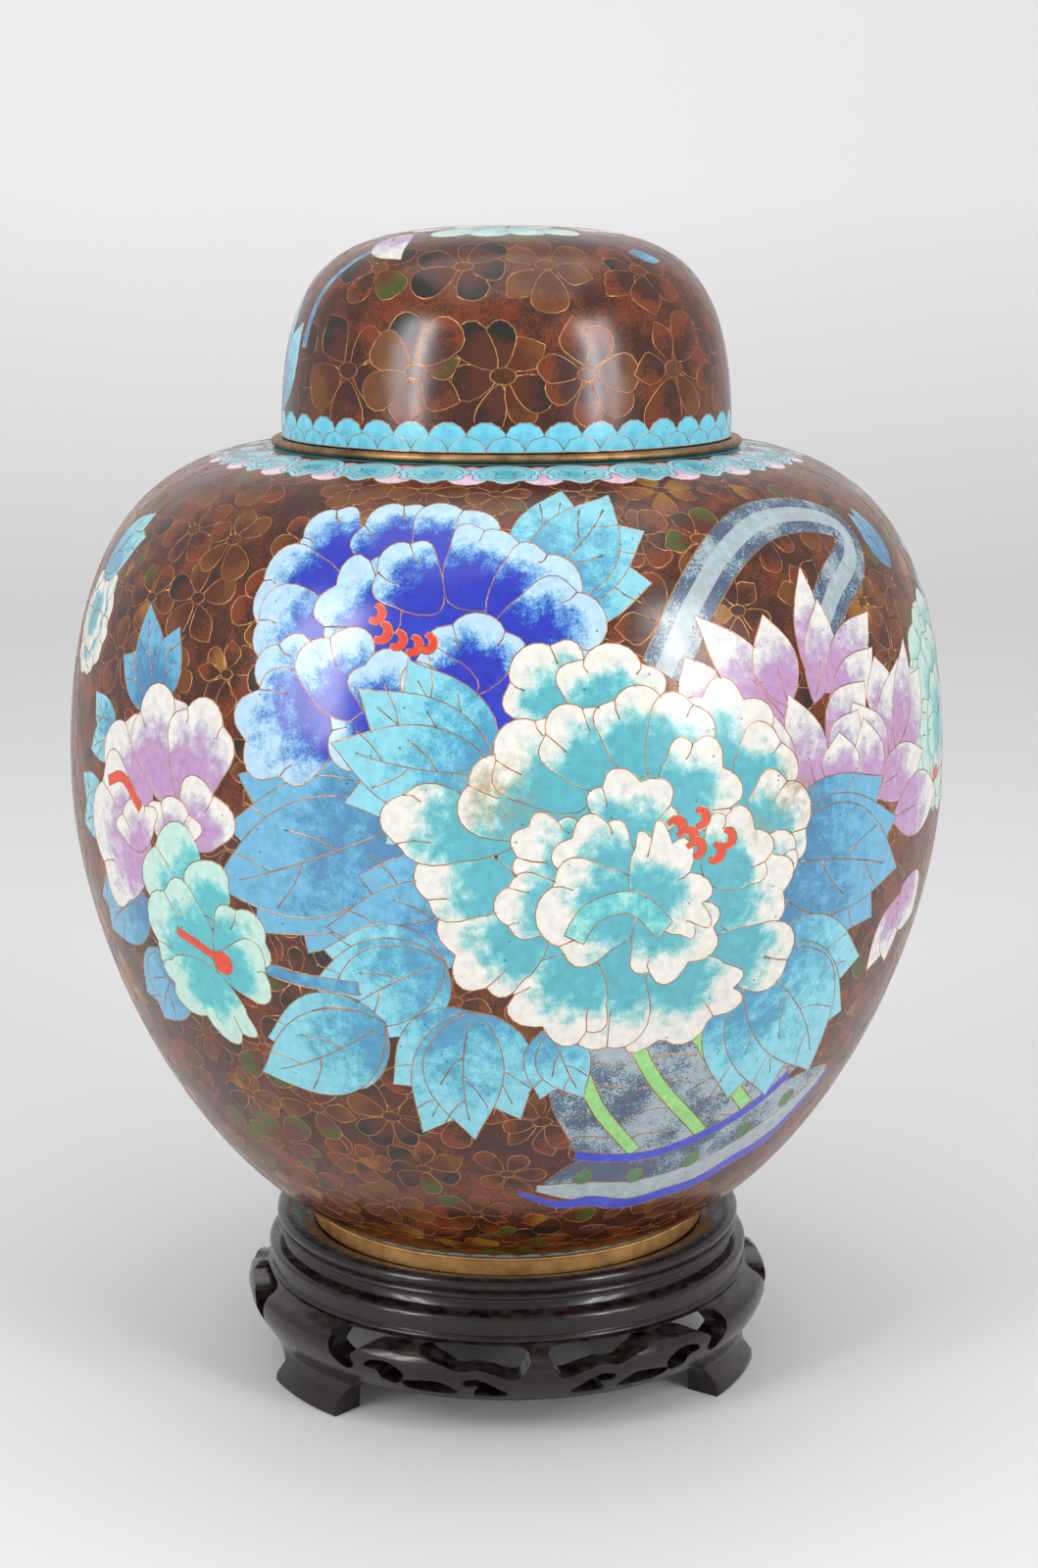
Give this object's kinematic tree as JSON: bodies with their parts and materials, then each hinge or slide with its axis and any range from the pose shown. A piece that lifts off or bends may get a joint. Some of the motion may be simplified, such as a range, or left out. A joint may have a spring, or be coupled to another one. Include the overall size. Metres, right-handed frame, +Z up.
{
  "type": "lidded cloisonne jar on stand",
  "caption": "Lidded ginger jar in enamelled copper with a domed lift-off lid, standing on a round pierced hardwood stand with three feet.",
  "frame": {"origin": "on the floor, under the middle of the stand", "axes": "+Z up through the lid, -Y towards the front, where one pierced panel of the stand faces and the basket of flowers shows, +X to the right"},
  "size_m": [0.214, 0.214, 0.2837],
  "materials": {
    "dark_hardwood": "dark reddish lacquered hardwood, glossy, slightly dusty",
    "gilt_brass": "worn brushed gilt brass",
    "enamel": "polished opaque enamel between brass wires, brown ground with blue, turquoise, white and lilac flowers"
  },
  "bodies": {
    "root": {"stand": "dark_hardwood", "foot_ring": "gilt_brass", "jar": "enamel", "lid_rim": "gilt_brass", "lid": "enamel"}
  },
  "joints": []
}
